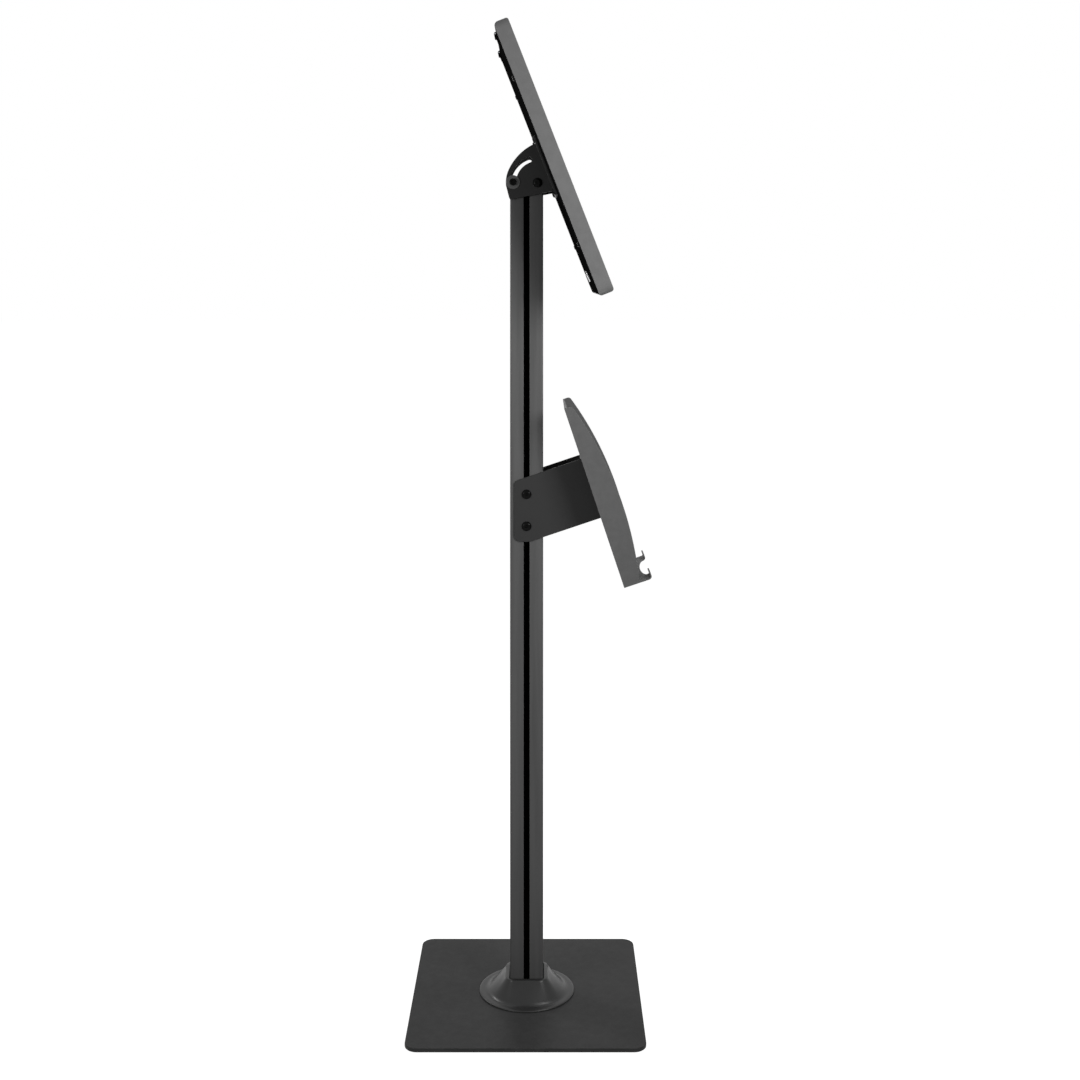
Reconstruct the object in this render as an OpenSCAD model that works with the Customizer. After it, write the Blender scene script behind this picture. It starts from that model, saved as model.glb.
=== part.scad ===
// Floor stand for a tablet: weighted base, slotted post, tilting locked enclosure and
// a leaflet holder that slides on the post. X is the way the screen looks, Z is up, and
// the origin is on the floor under the middle of the post.

/* [Base] */
// Side of the square base plate
base_w = 310; // [260:5:400]
// Thickness of the base plate
base_t = 5; // [4.5:0.5:10]
// Corner radius of the base plate
base_r = 17; // [8:1:30]
// Thickness of the anti-slip mat under the plate
mat_t = 1; // [0.6:0.2:2]
// How far the mat stays inside the edge of the plate
mat_inset = 3; // [1:1:10]

/* [Post foot] */
// Diameter of the steel flange under the post
flange_d = 96; // [92:2:98]
// Thickness of that flange
flange_t = 5; // [4.5:0.5:6]
// Radius at which the base bolts stand
base_bolt_ring = 38; // [37:0.5:39]
// Diameter of the moulded flange cover
skirt_d = 130; // [128:1:150]
// Height of the flange cover
skirt_h = 26; // [24:1:40]
// Thickness of the flange cover's lip
skirt_lip_t = 2.5; // [2:0.5:3]
// Width of the flat lip around the flange cover
skirt_lip_w = 7; // [5:0.5:8]
// Wall of the flange cover
skirt_wall = 2.5; // [2:0.25:3]
// Gap between the flange cover and the post
skirt_gap = 0.8; // [0.4:0.1:1.5]
// Width of the flange cover's collar outside the post
skirt_rim = 6; // [4.5:0.5:8]
// Corner radius of that collar
collar_r = 12; // [8:1:14]

/* [Post] */
// Width of the square post
post_w = 45; // [44:0.5:48]
// Length of the post
post_l = 1091; // [900:1:1300]
// Corner radius of the post
post_r = 2; // [1:0.5:3]
// Width of the slot in each side of the post
slot_w = 8; // [7.5:0.5:9]
// Thickness of the lips beside the slot
slot_lip = 3.5; // [3:0.25:4]
// Width of the cavity behind the lips
cavity_w = 19; // [18:0.5:20]
// Depth of the cavity behind the lips
cavity_d = 7; // [6.5:0.25:7.5]
// Wall between the chambers of the post
web_t = 2.5; // [2:0.25:3]
// Distance of the screw channels from the middle of the post
channel_off = 15; // [14.75:0.25:15.5]

/* [Tilt fork] */
// Thickness of the fork's sheet
fork_t = 3; // [2.5:0.25:3.5]
// Outer face of the fork's ears from the middle
fork_y = 24; // [23.5:0.25:25]
// Radius of the ear around the pivot
ear_r = 12.5; // [11:0.5:12.5]
// Radius of the ear around the clamp screw
clamp_ear_r = 7.5; // [6:0.5:8.5]
// Height of the pivot over the post
pivot_rise = 12.8; // [12.5:0.1:16]
// Distance of the pivot in front of the post's middle
pivot_x = 14.8; // [10:0.2:18]
// Distance from the pivot to the clamp screw
clamp_r = 33.2; // [31:0.2:36]

/* [Tilt] */
// Angle of the screen from upright in the steepest position
screen_lean = 21.35; // [10:0.05:30]
// How far the head tilts back from there, in degrees
tilt_range = 68.65; // [40:0.05:68.65]

/* [Tilt bracket] */
// Thickness of the bracket's sheet
cheek_t = 3; // [2.5:0.25:3.5]
// Gap between the fork's ears and the bracket's cheeks
cheek_gap = 1; // [0.8:0.1:1.5]
// Distance from the pivot to the back of the mounting plate
plate_n = 16.5; // [16:0.5:22]
// Edge of the square mounting plate outside its screws
plate_edge = 5.5; // [5:0.5:10]
// Hole spacing of the mounting plate
plate_pitch = 75; // [70:1:100]
// Diameter of the cable hole in the mounting plate
plate_hole_d = 28; // [24:1:32]
// Edge of the cheek outside the clamp slot
cheek_edge = 9.8; // [9.5:0.1:14]
// Upper end of the cheek above the pivot
cheek_up = 50.5; // [46:0.5:56]
// Lower end of the cheek below the pivot
cheek_down = 18.6; // [16:0.2:24]

/* [Enclosure] */
// Height of the enclosure
enc_l = 378; // [350:1:400]
// Width of the enclosure
enc_w = 286; // [276:1:320]
// Depth of the enclosure's side walls
enc_d = 20.1; // [19.6:0.1:22]
// Height of the enclosure's middle above the pivot
enc_up = 17.2; // [10:0.2:25]
// Sheet thickness of the enclosure
sheet_t = 1.5; // [1.2:0.1:1.6]
// Corner radius of the enclosure seen from the front
enc_r = 12; // [8:1:16]
// Edge radius of the enclosure seen from the side
enc_edge_r = 4; // [2:0.5:5]
// Radius of the enclosure's upper rear edge, under its hinge
enc_rear_r = 8; // [4:0.5:8]
// Height of the window over the screen
window_l = 264; // [240:1:268]
// Width of the window over the screen
window_w = 200; // [180:1:203]
// Corner radius of the window
window_r = 8; // [4:1:12]
// Depth of the folded lip at the top of the front cover
lip_l = 8; // [7:0.5:9]
// Depth of the folded lip at the bottom of the front cover
lip_low = 3; // [2.5:0.5:9]
// Gap between the back plate and the front cover
shell_gap = 0.5; // [0.3:0.1:0.8]

/* [Tablet] */
// Height of the tablet that the enclosure holds
tablet_l = 281; // [270:1:282]
// Width of the tablet that the enclosure holds
tablet_w = 215; // [200:1:216]
// Thickness of the tablet that the enclosure holds
tablet_t = 6.5; // [6:0.25:7]
// Thickness of the base of the corner holders
holder_base_t = 6; // [5:0.25:7]
// Length of each leg of the corner holders
corner_l = 32; // [28:1:40]

/* [Cover hinge and lock] */
// Hinge axis below the upper end of the enclosure
hinge_down = 9; // [8:0.5:10]
// Lock axis above the lower end of the enclosure
lock_up = 28; // [27:0.5:29]
// Radius of the lock's flange
lock_flange_r = 8; // [7.5:0.25:9]
// Reach of the lock's cam
cam_l = 22; // [20:0.5:23]

/* [Leaflet holder] */
// Height of the bracket's screws over the floor
rack_z = 669.6; // [300:0.2:760]
// Spacing of the bracket's two screws on each side
rack_pitch = 43.4; // [36:0.2:50]
// Thickness of the bracket's sheet
arm_t = 2; // [1.5:0.25:2.5]
// Gap between the bracket's cheeks and the post
arm_gap = 0.3; // [0.2:0.05:0.5]
// How far the bracket's cheeks reach behind the slot
arm_back = 16.9; // [14:0.1:20]
// Lean of the leaflet holder from upright
rack_lean = 18.55; // [10:0.05:30]
// Distance from the post's middle to the holder's lower back edge
rack_reach = 130; // [110:1:160]
// Lower back edge of the holder below the bracket's screws
rack_drop = 94.6; // [85:0.2:100]
// Height of the holder along its back
rack_l = 250; // [230:1:280]
// Width of the holder
rack_w = 156; // [120:1:230]
// Sheet thickness of the holder
rack_t = 2; // [1.5:0.25:2.5]
// Largest depth of the holder's side walls
rack_d = 33.3; // [28:0.1:40]
// Height of the deepest point of the side walls
rack_bow_v = 105; // [90:1:120]
// Radius of the bowed front edge of the side walls
rack_bow_r = 470; // [420:5:600]
// Reach of the front lips
lip_reach = 40; // [36:0.5:46]
// Height of the front lips
lip_h = 9.2; // [8:0.2:16]
// Width of each front lip
lip_w = 28; // [20:1:36]
// Bend radius of the front lips
lip_bend = 4.5; // [3:0.5:5]
// Depth of the scoop between the front lips
scoop_d = 8; // [6:0.5:12]

/* [Fasteners] */
// Shank radius of the large screws
bolt_r = 3; // [3:0.1:3]
// Hole allowance around a screw's shank
bolt_gap = 0.2; // [0.1:0.05:0.3]
// Shank radius of the pivot bolts
pivot_r = 4; // [3.5:0.25:4.5]
// Radial running gap around the pivots
run_gap = 0.05; // [0.03:0.01:0.08]

/* [Hidden] */
$fn = 96;
eps = 0.01;
sides = [-1, 1];

charcoal = "#3b3b3d";
dark = "#2c2c2e";
black = "#161617";
steel = "#9a9a9d";

// Heights of the base and the post
base_z = mat_t;
base_top = base_z + base_t;
post_z = base_top + flange_t;
post_top = post_z + post_l;
half = post_w / 2;
slot_floor = half - slot_lip - cavity_d;
cable_w = 16;

// Frame of the tilting head: local X is the screen's normal, local Z runs up the enclosure
pivot_z = post_top + pivot_rise;
fork_top = post_top + fork_t;
cheek_in = fork_y + cheek_gap;
cheek_out = cheek_in + cheek_t;
clamp_angle = 178.8;
clamp_local = clamp_angle - screen_lean;
clamp_x = pivot_x + clamp_r * cos(clamp_angle);
clamp_z = pivot_z + clamp_r * sin(clamp_angle);
clamp_slot_gap = 1;
end_step = 18;
plate_w = plate_pitch + 2 * plate_edge;
back_n = plate_n + cheek_t;
back_w = enc_w - 2 * (sheet_t + shell_gap);
back_l = enc_l - lip_l - lip_low - 2 * shell_gap;
inner_n = back_n + sheet_t;
front_n = back_n + enc_d;
front_in_n = front_n - sheet_t;
enc_top = enc_up + enc_l / 2;
enc_low = enc_up - enc_l / 2;
tablet_back_n = inner_n + holder_base_t;
tablet_front_n = tablet_back_n + tablet_t;
tablet_low = enc_up - tablet_l / 2;

// Hole for the tablet's cable
grommet_r = 8.5;
grommet_lip_r = 11;
grommet_hole_r = 6;
grommet_t = 1.5;

// Hinge of the front cover and the lock
hinge_u = enc_top - hinge_down;
knuckle_r = 1.6;
hinge_pin_r = 0.8;
hinge_n = back_n - knuckle_r;
hinge_y = enc_w / 2 - 63;
knuckle_l = 14;
knuckle_gap = 0.6;
knuckle_body = knuckle_l - knuckle_gap;
cover_leaf_low = hinge_down - lip_l + 0.4;
cover_leaf_l = 3;
hinge_leaf_l = 8;
lock_u = enc_low + lock_up;
lock_body_r = 6.4;
lock_flange_t = 2;
lock_face_n = back_n - lock_flange_t - 0.5;
plug_r = 4.4;
stem_r = 2.6;
lock_nut_t = 4;
catch_n = inner_n + lock_nut_t + 0.6;
catch_t = 1.6;
cam_n = catch_n + catch_t + 0.5;
cam_t = 1.6;

// Frame of the leaflet holder: local X is its front normal, local Z runs up its back
rack_x = rack_reach;
rack_low = rack_z - rack_drop;
arm_in = half + arm_gap;
arm_out = arm_in + arm_t;
arm_low_v = rack_drop - 5.6;
arm_high_v = arm_low_v + rack_pitch + 41.2;
arm_foot = 6.9;
shelf_d = lip_reach - lip_bend;
scoop_half = rack_w / 2 - lip_w;

// Heads and nuts
button_r = 6.5;
button_h = 3.4;
socket_r = 2.2;
socket_d = 1.8;
small_r = 2;
small_head_r = 4;
small_head_h = 2.2;
small_key_r = 1.3;
small_nut_r = 4;
small_nut_t = 3;
holder_head_r = small_r + 0.8 * rack_t;
sink = 0.1;
nut_r = 5.8;
nut_t = 4;
slot_nut_t = 5;
clamp_nut_r = 5;
clamp_head_r = 4.75;
clamp_head_h = 5;
clamp_key_r = 2.5;
clamp_washer_r = 9.4;
clamp_washer_t = 1.2;
friction_r = 9;
seat_gap = 0.2;

function unit(p) = p / norm(p);
function around(r, a) = r * [cos(a), sin(a)];
// Points of a rounded corner at p between its neighbours a and b
function corner(a, p, b, r, n = 6) =
    r == 0 ? [p] : let (
        u = unit(a - p), w = unit(b - p), h = acos(u * w) / 2,
        c = p + unit(u + w) * (r / sin(h)),
        s = p + u * (r / tan(h)) - c, e = p + w * (r / tan(h)) - c,
        a0 = atan2(s.y, s.x), d = (atan2(e.y, e.x) - a0 + 540) % 360 - 180
    ) [for (i = [0 : n]) c + r * [cos(a0 + d * i / n), sin(a0 + d * i / n)]];
function arc_points(centre, r, from, to, n) =
    [for (i = [0 : n]) centre + around(r, from + (to - from) * i / n)];
// Outline through points p with corner radii r
function rounded(p, r) = [
    for (i = [0 : len(p) - 1])
        each corner(p[(i + len(p) - 1) % len(p)], p[i], p[(i + 1) % len(p)], r[i])
];
// Place in the stand's XZ plane of a point of the leaflet holder's frame
function rack_point(m, v) = [
    rack_x + m * cos(rack_lean) - v * sin(rack_lean),
    rack_low + m * sin(rack_lean) + v * cos(rack_lean)
];
// Depth of the holder's side wall at height v
function wall_depth(v) =
    rack_d - rack_bow_r + sqrt(pow(rack_bow_r, 2) - pow(v - rack_bow_v, 2));

module head_frame() translate([pivot_x, 0, pivot_z]) rotate([0, -screen_lean, 0]) children();
module rack_frame() translate([rack_x, 0, rack_low]) rotate([0, -rack_lean, 0]) children();
// An outline of X and Z drawn out along Y, from y up by h
module along_y(y, h) translate([0, y + h, 0]) rotate([90, 0, 0]) linear_extrude(h) children();
// An outline of Y and Z drawn out along X, from x up by h
module along_x(x, h) translate([x, 0, 0]) rotate([90, 0, 90]) linear_extrude(h) children();
module rod_y(r, y, h) translate([0, y, 0]) rotate([-90, 0, 0]) cylinder(r = r, h = h);
module rod_x(r, x, h) translate([x, 0, 0]) rotate([0, 90, 0]) cylinder(r = r, h = h);
// The same thing on both sides of the stand
module both() {
    children();
    mirror([0, 1, 0]) children();
}
module rrect(x, y, r) {
    square([x - 2 * r, y], center = true);
    square([x, y - 2 * r], center = true);
    for (i = sides, j = sides) translate([i * (x / 2 - r), j * (y / 2 - r)]) circle(r);
}
module at_corners(x, y) for (i = sides, j = sides) translate([i * x, j * y, 0]) children();
// A screw head with a hex socket, its seat at z = 0 and its shank below
module button_screw(r, head_r, head_h, length, key_r) difference() {
    union() {
        cylinder(r = head_r, h = head_h * 0.35);
        translate([0, 0, head_h * 0.35]) cylinder(r1 = head_r, r2 = head_r * 0.7, h = head_h * 0.65);
        translate([0, 0, -length]) cylinder(r = r, h = length + eps);
    }
    translate([0, 0, head_h - socket_d]) cylinder(r = key_r, h = socket_d + 1, $fn = 6);
}
// A countersunk screw, its head's flat at z = 0 and its shank above
module flush_screw(r, head_r, length, key_r) difference() {
    union() {
        cylinder(r1 = head_r, r2 = r, h = head_r - r);
        cylinder(r = r, h = length);
    }
    translate([0, 0, -1]) cylinder(r = key_r, h = socket_d + 1, $fn = 6);
}
module hex_nut(r, t, hole) difference() {
    cylinder(r = r, h = t, $fn = 6);
    translate([0, 0, -1]) cylinder(r = hole, h = t + 2);
}

// Base
module base_mat() color(black) linear_extrude(mat_t) difference() {
    rrect(base_w - 2 * mat_inset, base_w - 2 * mat_inset, base_r - mat_inset);
    base_bolt_places() circle(2 * bolt_r + 1);
}
module base_bolt_places()
    for (a = [45 : 90 : 315]) rotate(a) translate([base_bolt_ring, 0]) children();
module base_plate() color(charcoal) difference() {
    translate([0, 0, base_z]) linear_extrude(base_t) rrect(base_w, base_w, base_r);
    base_bolt_places() {
        translate([0, 0, base_z - 1]) cylinder(r = bolt_r + bolt_gap, h = base_t + 2);
        translate([0, 0, base_z - eps])
            cylinder(r1 = 2 * bolt_r + bolt_gap, r2 = bolt_r + bolt_gap, h = bolt_r);
    }
}
module post_flange() color(dark) difference() {
    translate([0, 0, base_top]) cylinder(d = flange_d, h = flange_t);
    base_bolt_places() translate([0, 0, base_top - 1]) cylinder(r = bolt_r, h = flange_t + 2);
    at_corners(channel_off, channel_off) {
        translate([0, 0, base_top - 1]) cylinder(r = bolt_r + bolt_gap, h = flange_t + 2);
        translate([0, 0, base_top - eps])
            cylinder(r1 = 2 * bolt_r + bolt_gap, r2 = bolt_r + bolt_gap, h = bolt_r);
    }
    translate([0, 0, base_top - 1]) cylinder(d = cable_w, h = flange_t + 2);
}
module base_bolts() color(black) base_bolt_places()
    translate([0, 0, base_z + sink]) flush_screw(bolt_r, 2 * bolt_r, base_t + flange_t - 0.5, 2);
module foot_screws() color(black) at_corners(channel_off, channel_off)
    translate([0, 0, base_top + sink]) flush_screw(bolt_r - 0.25, 2 * bolt_r, 30, 2);
// Body of the flange cover, drawn in by d
module skirt_shell(d) hull() {
    translate([0, 0, base_top])
        cylinder(r = skirt_d / 2 - skirt_lip_w - d, h = skirt_lip_t - d / 2, $fn = 64);
    translate([0, 0, base_top + skirt_h - d - 1]) linear_extrude(1)
        rrect(post_w + 2 * (skirt_rim - d), post_w + 2 * (skirt_rim - d), collar_r - d);
}
module flange_cover() color(dark) difference() {
    union() {
        translate([0, 0, base_top]) cylinder(d = skirt_d, h = skirt_lip_t * 0.6);
        translate([0, 0, base_top + skirt_lip_t * 0.6])
            cylinder(d1 = skirt_d, d2 = skirt_d - skirt_lip_w, h = skirt_lip_t * 0.4);
        skirt_shell(0);
    }
    translate([0, 0, -eps]) skirt_shell(skirt_wall);
    translate([0, 0, base_top + skirt_h / 2])
        cube([post_w + 2 * skirt_gap, post_w + 2 * skirt_gap, 2 * skirt_h], center = true);
}

// Post
module post_profile() difference() {
    rrect(post_w, post_w, post_r);
    for (j = sides) scale([1, j]) {
        translate([-slot_w / 2, half - slot_lip - eps]) square([slot_w, slot_lip + 1]);
        polygon([
            [-cavity_w / 2, half - slot_lip], [cavity_w / 2, half - slot_lip],
            [cavity_w / 2, half - slot_lip - cavity_d / 2], [cavity_w / 4, slot_floor],
            [-cavity_w / 4, slot_floor], [-cavity_w / 2, half - slot_lip - cavity_d / 2]
        ]);
    }
    rrect(cable_w, 2 * (slot_floor - web_t), 2);
    for (i = sides) translate([i * (cable_w / 2 + web_t + half - slot_lip + 0.5) / 2, 0])
        square([half - slot_lip + 0.5 - cable_w / 2 - web_t, 2 * (slot_floor - web_t)], center = true);
    at_corners(channel_off, channel_off) circle(bolt_r - 0.25);
}
module post() color(charcoal) translate([0, 0, post_z]) linear_extrude(post_l) post_profile();

// Fork on top of the post
module ear_outline() hull() {
    translate([pivot_x, pivot_z]) circle(ear_r, $fn = 32);
    translate([clamp_x, clamp_z]) circle(clamp_ear_r, $fn = 32);
    translate([-half, post_top]) square([post_w, fork_t]);
}
module tilt_fork() color(dark) difference() {
    union() {
        both() along_y(fork_y - fork_t, fork_t) ear_outline();
        translate([-half, -fork_y, post_top]) cube([post_w, 2 * fork_y, fork_t]);
    }
    at_corners(channel_off, channel_off)
        translate([0, 0, post_top - 1]) cylinder(r = bolt_r + bolt_gap, h = fork_t + 2);
    translate([0, 0, post_top - 1]) cylinder(d = cable_w, h = fork_t + 2);
    translate([pivot_x, 0, pivot_z]) rod_y(pivot_r + run_gap, -fork_y - 1, 2 * fork_y + 2);
    translate([clamp_x, 0, clamp_z]) rod_y(bolt_r + bolt_gap, -fork_y - 1, 2 * fork_y + 2);
}
module fork_screws() color(black) at_corners(channel_off, channel_off)
    translate([0, 0, fork_top]) button_screw(bolt_r - 0.25, 5.2, 3, 25, socket_r);
pivot_seat = cheek_out + seat_gap;
module pivot_bolts() color(black) both() translate([pivot_x, pivot_seat, pivot_z]) rotate([-90, 0, 0])
    button_screw(pivot_r, button_r, button_h, pivot_seat - fork_y + fork_t + nut_t, socket_r);
module pivot_nuts() color(black) both() translate([pivot_x, fork_y - fork_t - nut_t, pivot_z])
    rotate([-90, 0, 0]) hex_nut(nut_r, nut_t, pivot_r);
module friction_washers() color(black) both() translate([pivot_x, fork_y, pivot_z])
    rotate([-90, 0, 0]) difference() {
        cylinder(r = friction_r, h = cheek_gap - 0.1);
        translate([0, 0, -1]) cylinder(r = pivot_r, h = cheek_gap + 2);
    }
clamp_seat = cheek_out + seat_gap + clamp_washer_t;
clamp_shank = clamp_seat - fork_y + fork_t + nut_t;
module clamp_screws() color(black) both() translate([clamp_x, clamp_seat, clamp_z])
    rotate([-90, 0, 0]) difference() {
        union() {
            cylinder(r = clamp_head_r, h = clamp_head_h);
            translate([0, 0, -clamp_shank]) cylinder(r = bolt_r, h = clamp_shank + eps);
        }
        translate([0, 0, clamp_head_h / 2]) cylinder(r = clamp_key_r, h = clamp_head_h, $fn = 6);
    }
module clamp_washers() color(dark) both() translate([clamp_x, cheek_out + seat_gap, clamp_z])
    rotate([-90, 0, 0]) difference() {
        cylinder(r = clamp_washer_r, h = clamp_washer_t);
        translate([0, 0, -1]) cylinder(r = bolt_r, h = clamp_washer_t + 2);
    }
module clamp_nuts() color(black) both() translate([clamp_x, fork_y - fork_t - nut_t, clamp_z])
    rotate([-90, 0, 0]) hex_nut(clamp_nut_r, nut_t, bolt_r);

// Tilt bracket
cheek_r = clamp_r + cheek_edge;
cheek_top_angle = 133;
cheek_side_angle = clamp_local + 6;
cheek_low_angle = 190;
cheek_low_r = cheek_r + 1.3;
cheek_top = [plate_n - 5, cheek_up];
// Radius and centre of the sweep that starts at cheek_top and joins the arc about the pivot
cheek_along = cheek_top * around(1, cheek_top_angle);
cheek_sweep_r = (cheek_top * cheek_top + pow(cheek_r, 2) - 2 * cheek_r * cheek_along)
    / (2 * (cheek_r - cheek_along));
cheek_sweep_c = around(cheek_r - cheek_sweep_r, cheek_top_angle);
cheek_sweep_start = atan2(cheek_top.y - cheek_sweep_c.y, cheek_top.x - cheek_sweep_c.x);
module cheek_outline() polygon(concat(
    [[plate_n, -cheek_down], [plate_n, cheek_up]],
    arc_points(cheek_sweep_c, cheek_sweep_r, cheek_sweep_start, cheek_top_angle, 8),
    arc_points([0, 0], cheek_r, cheek_top_angle + 4, cheek_side_angle, 7),
    corner(around(cheek_r, cheek_side_angle), around(cheek_low_r, cheek_low_angle),
        [plate_n, -cheek_down], 3)
));
// Curved slot that the clamp screw runs in: round ends joined by two arcs about the pivot
module clamp_slot() let (
    w = bolt_r + clamp_slot_gap, a0 = clamp_local - tilt_range, a1 = clamp_local
) polygon(concat(
    arc_points([0, 0], clamp_r + w, a0, a1, 18),
    arc_points(around(clamp_r, a1), w, a1 + end_step, a1 + 180 - end_step, 8),
    arc_points([0, 0], clamp_r - w, a1, a0, 18),
    arc_points(around(clamp_r, a0), w, a0 + end_step - 180, a0 - end_step, 8)
));
module tilt_bracket() color(dark) head_frame() difference() {
    union() {
        along_x(plate_n, cheek_t) translate([0, enc_up]) rrect(plate_w, plate_w, 4);
        both() along_y(cheek_in, cheek_t) cheek_outline();
    }
    along_x(plate_n - 1, cheek_t + 2) translate([0, enc_up]) circle(d = plate_hole_d);
    along_x(plate_n - 1, cheek_t + 2) translate([0, enc_up])
        at_corners(plate_pitch / 2, plate_pitch / 2) circle(small_r + bolt_gap);
    rod_y(pivot_r + run_gap, -cheek_out - 1, 2 * cheek_out + 2);
    both() along_y(cheek_in - 1, cheek_t + 2) clamp_slot();
}
module plate_screws() color(black) head_frame() for (i = sides, j = sides)
    translate([plate_n, i * plate_pitch / 2, enc_up + j * plate_pitch / 2])
        rotate([0, -90, 0]) button_screw(small_r, small_head_r, small_head_h, cheek_t + sheet_t, small_key_r);

// Back of the enclosure
module back_plate() color(dark) head_frame() difference() {
    along_x(back_n, sheet_t) translate([0, enc_up + (lip_low - lip_l) / 2])
        rrect(back_w, back_l, enc_r - sheet_t - 2);
    translate([0, 0, enc_up]) rod_x(grommet_r, back_n - 1, 4);
    translate([0, 0, lock_u]) rod_x(lock_body_r + run_gap, back_n - 1, 4);
    for (i = sides, j = sides) {
        translate([0, i * plate_pitch / 2, enc_up + j * plate_pitch / 2]) rod_x(small_r, back_n - 1, 4);
        translate([0, i * corner_screw_y, enc_up + j * corner_screw_u]) rod_x(small_r, back_n - 1, 4);
    }
}
corner_screw_y = tablet_w / 2 - 4;
corner_screw_u = tablet_l / 2 - corner_l + 8;
// One corner holder, in the plane of the back plate
module corner_holder(h) difference() {
    translate([-corner_l + 3, -corner_l + 3]) square(corner_l);
    translate([-corner_l, -corner_l]) square([corner_l - h, corner_l - h]);
}
module corner_holders() color(black) head_frame() for (i = sides, j = sides) difference() {
    translate([0, i * tablet_w / 2, enc_up + j * tablet_l / 2]) scale([1, i, j]) {
        along_x(inner_n, holder_base_t) corner_holder(8);
        along_x(inner_n, holder_base_t + tablet_t) corner_holder(0);
    }
    translate([0, i * corner_screw_y, enc_up + j * corner_screw_u])
        rod_x(small_r + run_gap, inner_n - 1, holder_base_t + 2);
}
module corner_screws() color(black) head_frame() for (i = sides, j = sides)
    translate([back_n, i * corner_screw_y, enc_up + j * corner_screw_u])
        rotate([0, -90, 0]) button_screw(small_r, 3.6, 2, sheet_t + holder_base_t, 1.2);
module foam_pads() color(black) head_frame() for (i = sides)
    along_x(inner_n, holder_base_t)
        translate([i * tablet_w / 4, enc_up]) rrect(18, tablet_l * 0.56, 4);
module cable_grommet() color(black) head_frame() translate([0, 0, enc_up]) difference() {
    union() {
        rod_x(grommet_r, back_n - grommet_t, sheet_t + 2 * grommet_t);
        rod_x(grommet_lip_r, back_n - grommet_t, grommet_t);
        rod_x(grommet_lip_r, inner_n, grommet_t);
    }
    rod_x(grommet_hole_r, back_n - 4, 12);
}

// Hinge along the top of the enclosure
module at_hinges(offset) for (i = sides) translate([hinge_n, i * hinge_y + offset, hinge_u]) children();
module hinge_knuckles() color(dark) head_frame() for (s = sides) at_hinges(s * knuckle_l) difference() {
    union() {
        rod_y(knuckle_r, -knuckle_body / 2, knuckle_body);
        translate([0, -knuckle_body / 2, -hinge_leaf_l]) cube([knuckle_r, knuckle_body, hinge_leaf_l]);
    }
    rod_y(hinge_pin_r, -knuckle_l, 2 * knuckle_l);
}
module hinge_pins() color(steel) head_frame() at_hinges(0)
    rod_y(hinge_pin_r, -1.5 * knuckle_l, 3 * knuckle_l);
module cover_knuckles() color(dark) head_frame() difference() {
    at_hinges(0) {
        rod_y(knuckle_r, -knuckle_body / 2, knuckle_body);
        translate([0, -knuckle_body / 2, cover_leaf_low]) cube([2 * knuckle_r, knuckle_body, cover_leaf_l]);
    }
    enclosure_block(0);
    at_hinges(0) rod_y(hinge_pin_r + run_gap, -knuckle_l, 2 * knuckle_l);
}

// Lock
module lock_barrel() color("#c9c9cc") head_frame() translate([0, 0, lock_u]) difference() {
    union() {
        rod_x(lock_flange_r, back_n - lock_flange_t, lock_flange_t);
        rod_x(lock_body_r, back_n - 1, catch_n + catch_t - back_n + 1);
    }
    rod_x(plug_r + run_gap, lock_face_n - 1, 30);
}
module lock_nut() color(steel) head_frame() translate([inner_n, 0, lock_u])
    rotate([0, 90, 0]) hex_nut(lock_body_r + 2.8, lock_nut_t, lock_body_r);
module lock_plug() color("#b5b5b8") head_frame() translate([0, 0, lock_u]) difference() {
    union() {
        rod_x(plug_r, lock_face_n, cam_n - lock_face_n);
        rod_x(stem_r, cam_n - eps, cam_t + eps);
    }
    translate([lock_face_n - 1, -0.6, -3]) cube([3.5, 1.2, 6]);
    rod_x(1.25, cam_n - 3, 10);
}
module lock_cam() color(steel) head_frame() translate([0, 0, lock_u]) along_x(cam_n, cam_t) difference() {
    union() {
        circle(6);
        translate([-cam_l, -4.5]) square([cam_l, 9]);
    }
    circle(stem_r + run_gap);
}
module cam_screw() color(steel) head_frame() translate([cam_n + cam_t, 0, lock_u])
    rotate([0, 90, 0]) difference() {
        union() {
            cylinder(r = 4, h = 1.6);
            translate([0, 0, -cam_t - 2.5]) cylinder(r = 1.25, h = cam_t + 2.5 + eps);
        }
        translate([-2.5, -0.5, 0.8]) cube([5, 1, 2]);
    }
module lock_catch() color(dark) head_frame() difference() {
    translate([catch_n, -15, enc_low + sheet_t])
        cube([front_in_n - enc_edge_r + sheet_t - catch_n, 30, 15]);
    translate([catch_n + catch_t, -16, enc_low + sheet_t + catch_t]) cube([30, 32, 20]);
}

// Front of the enclosure
module enclosure_block(d) intersection() {
    along_y(-enc_w / 2 + d, enc_w - 2 * d) polygon(rounded([
        [back_n + d, enc_low + d], [front_n - d, enc_low + d],
        [front_n - d, enc_top - d], [back_n + d, enc_top - d]
    ], [enc_edge_r - d, enc_edge_r - d, enc_edge_r - d, enc_rear_r - d]));
    along_x(back_n + d, enc_d - 2 * d) translate([0, enc_up])
        rrect(enc_w - 2 * d, enc_l - 2 * d, enc_r - d);
}
module front_cover() color(charcoal) head_frame() difference() {
    enclosure_block(0);
    enclosure_block(sheet_t);
    along_x(back_n - 1, sheet_t + 2) translate([0, enc_up]) difference() {
        rrect(enc_w - 2 * sheet_t, enc_l - 2 * sheet_t, enc_r - sheet_t);
        translate([0, enc_l / 2]) square([enc_w, 2 * lip_l], center = true);
        translate([0, -enc_l / 2]) square([enc_w, 2 * lip_low], center = true);
    }
    along_x(front_in_n - 1, sheet_t + 2) translate([0, enc_up]) rrect(window_w, window_l, window_r);
}
module window_gasket() color(black) head_frame()
    along_x(tablet_front_n + 0.3, front_in_n - tablet_front_n - 0.3) translate([0, enc_up]) difference() {
        rrect(window_w + 12, window_l + 12, window_r + 6);
        rrect(window_w, window_l, window_r);
    }

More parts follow.
